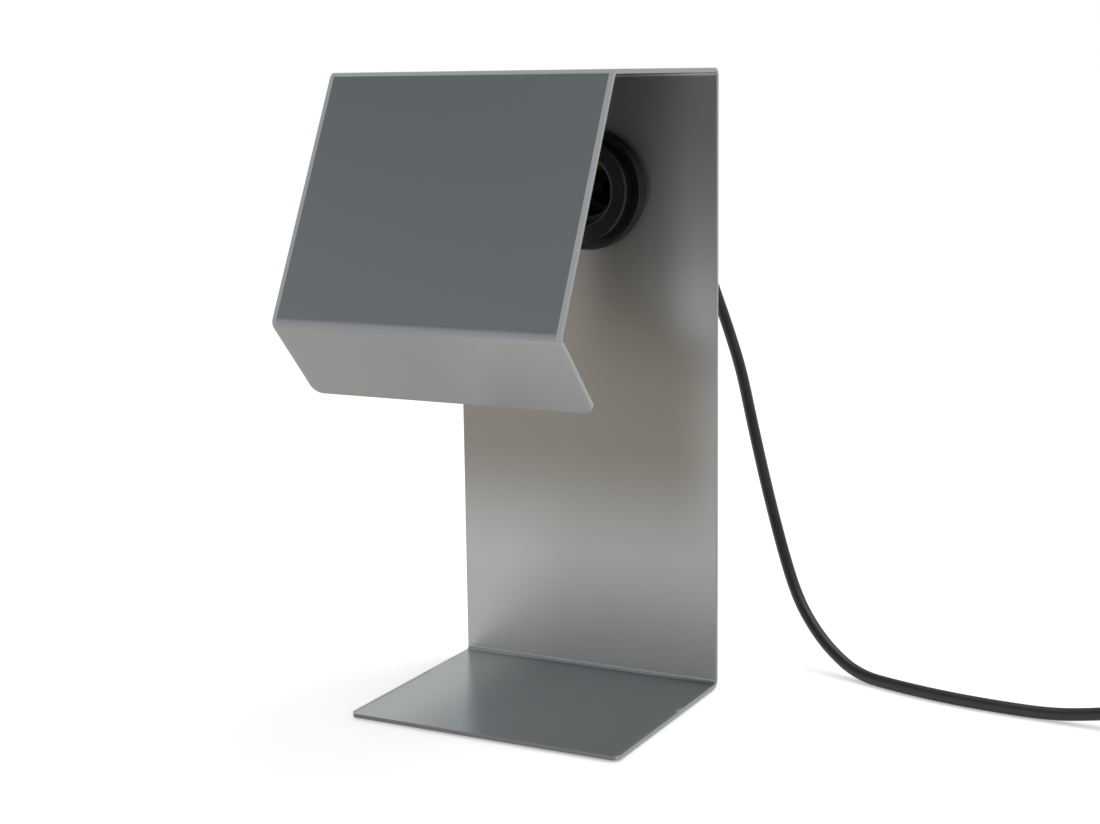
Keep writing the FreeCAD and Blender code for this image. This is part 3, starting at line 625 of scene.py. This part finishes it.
turned_piece("holder_cap", [
    (cap_start, cap_inside, 0.2),
    (cap_start, spigot_radius, 0.3),
    (skirt_end, spigot_radius, 0.1),
    (skirt_end, skirt_radius, 0.4),
    (cap_end, skirt_radius, cap_crown),
    (cap_end, neck_radius, 0.5),
    (neck_end, neck_radius, 0.4),
    (neck_end, neck_bore, 0.2),
    (cap_end - cap_wall, neck_bore, 0.2),
    (cap_end - cap_wall, cap_inside, cap_crown - cap_wall),
], phenolic, sides=384, longest=1.0, relief=cap_relief)


# Brass screw shell in the holder's mouth, rolled from thin sheet with a round thread for a lamp
# cap 27 mm across, and turned in at its back to a flange.
screw_pitch, screw_depth = 3.6, 1.0
shell_bore, shell_wall, flange_edge = 13.2, 0.5, 8.7
brass = mottled_finish("brass", (0.58, 0.44, 0.22), (0.72, 0.55, 0.28), 150.0, 0.30, metallic=1.0)
# Tarnished brass, darkened well beyond tarnish as painted shade inside the holder's mouth.
tarnished_and_shaded_brass = mottled_finish("tarnished_and_shaded_brass", (0.07, 0.05, 0.03), (0.13, 0.09, 0.05), 120.0,
                                 0.42, metallic=1.0)


def screw_relief(along, radius, angle):
    """The round thread all along the shell, kept off the flange."""
    if radius < shell_bore - surface_depth:
        return radius
    return cut_thread(along, radius, angle, pocket_start, pocket_end - 1, screw_pitch, screw_depth)


turned_piece("screw_shell", [
    (pocket_start, shell_bore, 0.15),
    (pocket_start, shell_bore + shell_wall, 0.15),
    (pocket_end, shell_bore + shell_wall, 0.4),
    (pocket_end, flange_edge, 0.1),
    (pocket_end - shell_wall, flange_edge, 0.1),
    (pocket_end - shell_wall, shell_bore, 0.1),
], tarnished_and_shaded_brass, longest=0.3, relief=screw_relief)


# Moulded disc behind the screw shell, which closes the holder's mouth. The springy brass centre
# contact lies on it, and two brass rivets hold it.
dress(phenolic, "contact_carrier")
# The contact and rivets take the same brass, darkened as painted shade inside the mouth.
dress(tarnished_and_shaded_brass, "centre_contact", "contact_rivets")


# Two brass terminals behind the disc, each with a zinc-plated screw that grips one of the cord's
# two insulated cores, brown or blue. A grub screw locks the strain relief in the cap's neck.
zinc = mottled_finish("zinc_plate", (0.50, 0.50, 0.49), (0.62, 0.62, 0.60), 150.0, 0.32, metallic=1.0)
live_insulation = mottled_finish("live_insulation", (0.09, 0.035, 0.015), (0.12, 0.05, 0.02),
                                 60.0, 0.45)
neutral_insulation = mottled_finish("neutral_insulation", (0.02, 0.06, 0.22), (0.03, 0.08, 0.27),
                                    60.0, 0.45)
dress(brass, "terminal_live", "terminal_neutral")
dress(zinc, "terminal_screws", "neck_screw")
dress(live_insulation, "core_live")
dress(neutral_insulation, "core_neutral")


# Strain relief, moulded in soft black plastic as a tapered sleeve with grooves round it. Its
# thicker end is screwed into the cap's neck, and the cord comes out of it.
relief_start, relief_shoulder, relief_end = 43.0, 49.0, 70.0
relief_bore, relief_thread, relief_root, relief_tip = 3.05, 4.95, 6.0, 4.0
ring_pitch, ring_groove = 3.0, 0.7


def relief_rings(along, radius, angle):
    """The grooves round the taper."""
    if not relief_shoulder + 1 < along < relief_end - 1 or radius < relief_bore + surface_depth:
        return radius
    return radius - ring_groove * max(0.0, cos(2 * pi * (along - relief_shoulder) / ring_pitch)) ** 2


turned_piece("strain_relief", [
    (relief_start, relief_bore, 0.1),
    (relief_start, relief_thread, 0.2),
    (neck_end, relief_thread, 0.1),
    (neck_end, neck_radius, 0.4),
    (relief_shoulder, neck_radius, 0.6),
    (relief_shoulder, relief_root, 0.3),
    (relief_end, relief_tip, 0.4),
    (relief_end, relief_bore, 0.1),
], black_plastic, sides=64, longest=0.3, relief=relief_rings)


# In-line switch: two moulded halves that clamp the cord, screwed together from below, with a fine
# groove round their joint and a glossier rocker in the upper one. Inside are brass contacts,
# zinc-plated screws and the ends of the cord's cores.
parting_height = 0.009
parting_groove = 0.0004
groove_shade = (0.001, 0.001, 0.001, 1)


def add_parting_groove(material):
    """A narrow groove all round at the height where the two halves meet."""
    nodes, links = material.node_tree.nodes, material.node_tree.links
    place = nodes.new("ShaderNodeTexCoord").outputs["Object"]
    height = add_node(nodes, links, "ShaderNodeSeparateXYZ", Vector=place).outputs["Z"]
    away = worked(nodes, links, "ABSOLUTE", worked(nodes, links, "SUBTRACT", height, parting_height))
    depth = ranged(nodes, links, away, 0.0, parting_groove, 0.0, 1.0)
    groove = add_node(nodes, links, "ShaderNodeBump", Height=depth, Strength=1.0,
                      Distance=parting_groove)
    shader = nodes["Principled BSDF"]
    links.new(shader.inputs["Normal"].links[0].from_socket, groove.inputs["Normal"])
    links.new(groove.outputs["Normal"], shader.inputs["Normal"])
    colour = shader.inputs["Base Color"].links[0].from_socket
    links.new(blended(nodes, links, depth, groove_shade, colour), shader.inputs["Base Color"])


switch_plastic = mottled_finish("switch_plastic", (0.010, 0.010, 0.011), (0.015, 0.015, 0.016), 90.0,
                                0.42, edge=0.0003, pits=0.08)
add_parting_groove(switch_plastic)
rocker_plastic = mottled_finish("rocker_plastic", (0.008, 0.008, 0.009), (0.012, 0.012, 0.013), 60.0,
                                0.25, edge=0.0005)
dress(switch_plastic, "switch_base", "switch_cover")
dress(black_plastic, "switch_cord_clamps")
dress(rocker_plastic, "switch_rocker")
dress(brass, "switch_bridge", "switch_contact_plug_side", "switch_contact_lamp_side",
      "switch_neutral_link")
dress(zinc, "switch_clamp_screws", "switch_shell_screws", "switch_post_screws")
dress(live_insulation, "switch_cores")


# Band that holds the coil's turns together, woven in black yarn. It goes over them from the table
# inside the coil to the table outside it, on the side away from the lamp.
woven_band = mottled_finish("woven_band", (0.008, 0.008, 0.009), (0.030, 0.030, 0.032), 900.0, 0.85,
                            pits=0.8)
dress(woven_band, "coil_tie")


# Floor, a plain pale matt table top that goes on out of view. It takes the lamp's soft shadow, and
# shows white to the camera and in the steel.
floor_reach = 40.0
floor_matt = (0.8, 0.8, 0.8, 1)
floor_glow = 0.36
floor_mesh = bpy.data.meshes.new("floor")
floor_corners = [(-floor_reach, -floor_reach, 0), (floor_reach, -floor_reach, 0),
                 (floor_reach, floor_reach, 0), (-floor_reach, floor_reach, 0)]
floor_mesh.from_pydata(floor_corners, [], [(0, 1, 2, 3)])
floor = bpy.data.objects.new("floor", floor_mesh)
bpy.context.scene.collection.objects.link(floor)


def seen_rays(nodes, links):
    """1 for what the camera sees straight, in a reflection or through glass, otherwise 0."""
    path = nodes.new("ShaderNodeLightPath")
    straight = worked(nodes, links, "MAXIMUM", path.outputs["Is Camera Ray"],
                      path.outputs["Is Glossy Ray"])
    return worked(nodes, links, "MAXIMUM", straight, path.outputs["Is Transmission Ray"])


def pale_floor():
    """A matt surface that takes shadows and adds a glow only for the rays that are seen."""
    material = bpy.data.materials.new("pale_floor")
    material.use_nodes = True
    nodes, links = material.node_tree.nodes, material.node_tree.links
    nodes.remove(nodes["Principled BSDF"])
    matt = add_node(nodes, links, "ShaderNodeBsdfDiffuse", Color=floor_matt)
    strength = worked(nodes, links, "MULTIPLY", seen_rays(nodes, links), floor_glow)
    glow = add_node(nodes, links, "ShaderNodeEmission", Strength=strength)
    both = add_node(nodes, links, "ShaderNodeAddShader", _0=matt.outputs[0], _1=glow.outputs[0])
    links.new(both.outputs["Shader"], nodes["Material Output"].inputs["Surface"])
    return material


floor_mesh.materials.append(pale_floor())


# Room round the lamp, which the steel reflects: pale walls low down, dim ones higher up, and a
# pale ceiling overhead. Heights are the sines of the angles above the horizon.
wall_white = (1.0, 1.0, 1.0, 1)
dim_wall = (0.18, 0.225, 0.25, 1)
plain_light = (0.82, 0.82, 0.82, 1)
wall_dims, ceiling_starts = (0.44, 0.58), (0.80, 0.95)
world = bpy.data.worlds.new("room")
bpy.context.scene.world = world
world.use_nodes = True
room_nodes = world.node_tree.nodes
room_links = world.node_tree.links
direction = room_nodes.new("ShaderNodeTexCoord").outputs["Generated"]
height = add_node(room_nodes, room_links, "ShaderNodeSeparateXYZ", Vector=direction).outputs["Z"]
up_the_wall = ranged(room_nodes, room_links, height, *wall_dims, 0.0, 1.0)
below_ceiling = ranged(room_nodes, room_links, height, *ceiling_starts, 1.0, 0.0)
dim = product(room_nodes, room_links, up_the_wall, below_ceiling)
seen_room = blended(room_nodes, room_links, dim, wall_white, dim_wall)
shown = blended(room_nodes, room_links, seen_rays(room_nodes, room_links), plain_light, seen_room)
room_links.new(shown, room_nodes["Background"].inputs["Color"])


# Large soft studio lamp, high up behind the table lamp and to its right, turned towards its middle.
# It gives the faint shadow on the floor its direction.
high_place, high_aim = Vector((0.5, 0.6, 1.6)), Vector((0, 0, 0.1))
high_light = bpy.data.lights.new("high_lamp", "AREA")
high_light.size = 1.2
high_light.energy = 10.0
high_lamp = bpy.data.objects.new("high_lamp", high_light)
high_lamp.location = high_place
high_lamp.rotation_euler = (high_aim - high_place).to_track_quat("-Z", "Y").to_euler()
bpy.context.scene.collection.objects.link(high_lamp)
